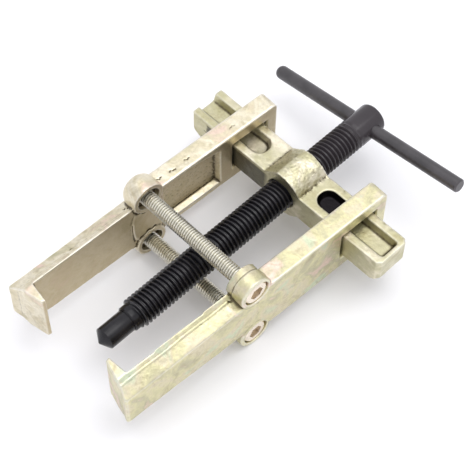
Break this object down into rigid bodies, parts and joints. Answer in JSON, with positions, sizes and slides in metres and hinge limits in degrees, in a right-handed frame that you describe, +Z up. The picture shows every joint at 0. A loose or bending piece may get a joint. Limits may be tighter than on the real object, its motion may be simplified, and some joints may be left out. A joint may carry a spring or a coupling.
{
  "type": "gear puller",
  "caption": "Two-arm gear puller: forcing screw with a sliding T-bar through a crossbeam, and two hooked arms drawn together by tie screws.",
  "frame": {"origin": "tip of the forcing screw's point", "axes": "+X along the crossbeam, +Y along the forcing screw towards its handle, +Z up as the tool lies on its side"},
  "size_m": [0.0947, 0.1503, 0.0404],
  "materials": {
    "beam_zinc": "yellow zinc plate over a rough forging",
    "arm_zinc": "yellow chromated zinc plate over a casting",
    "tie_zinc": "bright zinc plate",
    "black_oxide": "oiled black oxide",
    "bar_black": "dry black oxide"
  },
  "bodies": {
    "crossbeam": {"crossbeam": "beam_zinc"},
    "right_arm": {"right_arm": "arm_zinc"},
    "left_arm": {"left_arm": "arm_zinc"},
    "upper_tie_screw": {"upper_tie_screw": "tie_zinc"},
    "lower_tie_screw": {"lower_tie_screw": "tie_zinc"},
    "screw_point": {"screw_point": "black_oxide"},
    "forcing_screw": {"forcing_screw": "black_oxide"},
    "tommy_bar": {"tommy_bar": "bar_black"}
  },
  "joints": [
    {"name": "arms_along_beam", "type": "slide", "parent": "crossbeam", "child": "right_arm", "axis": [1, 0, 0], "range_m": [-0.005, 0.005]},
    {"name": "arm_spacing", "type": "slide", "parent": "right_arm", "child": "left_arm", "axis": [-1, 0, 0], "range_m": [-0.008, 0.002]},
    {"name": "upper_tie_turn", "type": "hinge", "parent": "right_arm", "child": "upper_tie_screw", "pos_m": [0, 0.04695, 0.0135], "axis": [1, 0, 0], "range_deg": [-2884, 724]},
    {"name": "lower_tie_turn", "type": "hinge", "parent": "right_arm", "child": "lower_tie_screw", "pos_m": [0, 0.04695, -0.0135], "axis": [1, 0, 0], "range_deg": [-2884, 724]},
    {"name": "screw_feed", "type": "slide", "parent": "crossbeam", "child": "screw_point", "axis": [0, -1, 0], "range_m": [-0.065, 0.019]},
    {"name": "screw_turn", "type": "hinge", "parent": "screw_point", "child": "forcing_screw", "pos_m": [0, 0, 0], "axis": [0, -1, 0], "range_deg": [-13376, 3912]},
    {"name": "bar_slide", "type": "slide", "parent": "forcing_screw", "child": "tommy_bar", "axis": [0.988, 0, 0.1547], "range_m": [-0.038, 0.038]}
  ],
  "couplings": [
    {"joint": "upper_tie_turn", "follows": "arm_spacing", "rad_per_m": 6283.2},
    {"joint": "lower_tie_turn", "follows": "arm_spacing", "rad_per_m": 6283.2},
    {"joint": "screw_turn", "follows": "screw_feed", "rad_per_m": 3590.4}
  ]
}
